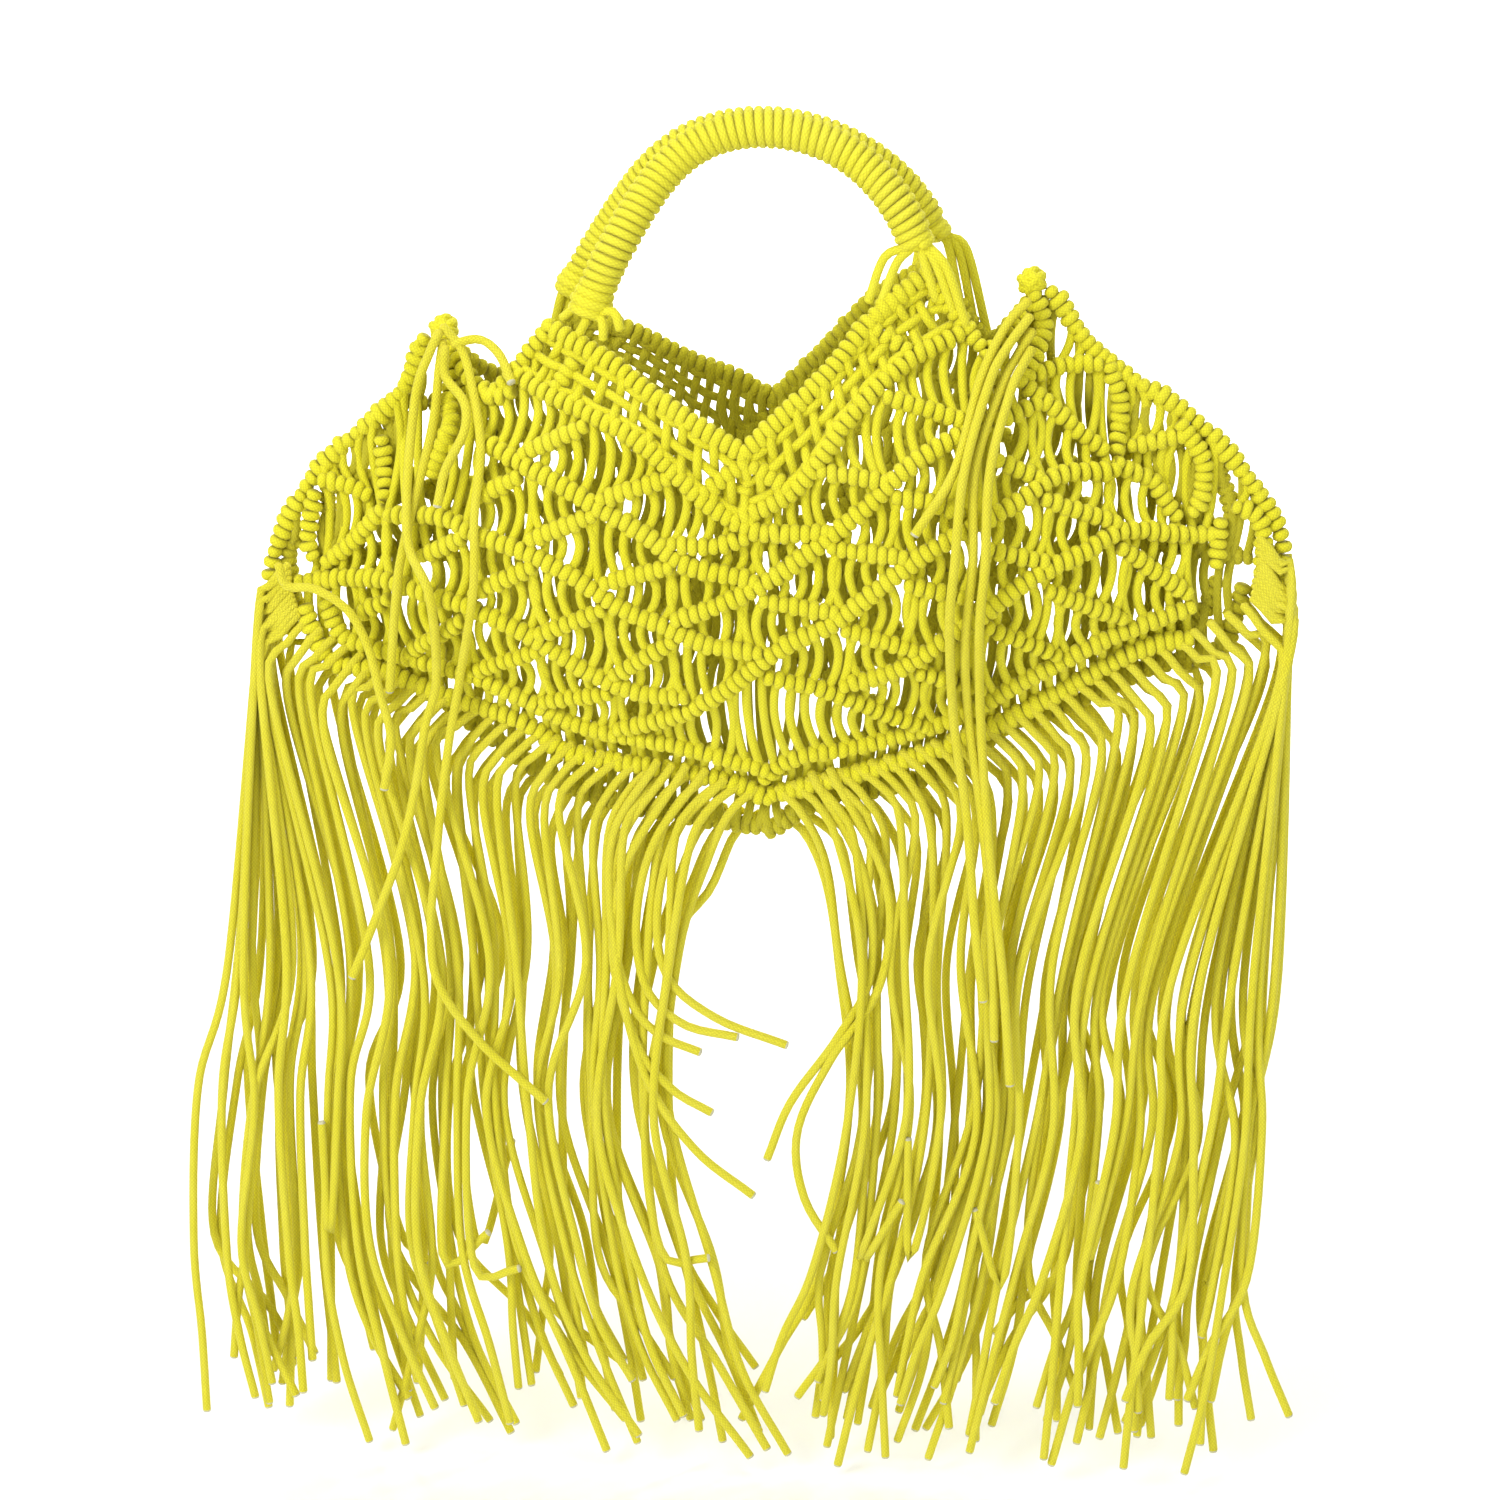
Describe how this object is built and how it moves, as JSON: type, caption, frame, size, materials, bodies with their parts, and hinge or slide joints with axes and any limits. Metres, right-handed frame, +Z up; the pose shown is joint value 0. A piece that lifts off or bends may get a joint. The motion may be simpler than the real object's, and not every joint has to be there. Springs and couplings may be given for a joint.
{
  "type": "fishnet tote bag",
  "caption": "Knotted cord tote bag with an open net body, two wrapped arch handles, shoulder tails and a long fringe.",
  "frame": {"origin": "underside of the two handles, where the bag hangs", "axes": "+Z up, -Y the front of the bag, +X to the right as seen from the front"},
  "size_m": [0.4779, 0.1028, 0.5903],
  "materials": {
    "net_cord": "matt braided cotton cord in knotted net",
    "wrapping_cord": "matt braided cotton cord, wound tight",
    "loose_cord": "matt braided cotton cord, cut ends pale"
  },
  "bodies": {
    "root": {"front_net": "net_cord", "back_net": "net_cord", "front_neck_rim": "net_cord", "back_neck_rim": "net_cord", "front_hem": "net_cord", "back_hem": "net_cord", "left_side_seam": "net_cord", "right_side_seam": "net_cord", "front_handle": "wrapping_cord", "back_handle": "wrapping_cord", "front_left_tie": "wrapping_cord", "front_right_tie": "wrapping_cord", "back_left_tie": "wrapping_cord", "back_right_tie": "wrapping_cord", "left_shoulder_knot": "net_cord", "right_shoulder_knot": "net_cord", "left_shoulder_tassel": "loose_cord", "right_shoulder_tassel": "loose_cord", "front_left_fringe": "loose_cord", "front_right_fringe": "loose_cord", "back_left_fringe": "loose_cord", "back_right_fringe": "loose_cord"}
  },
  "joints": []
}
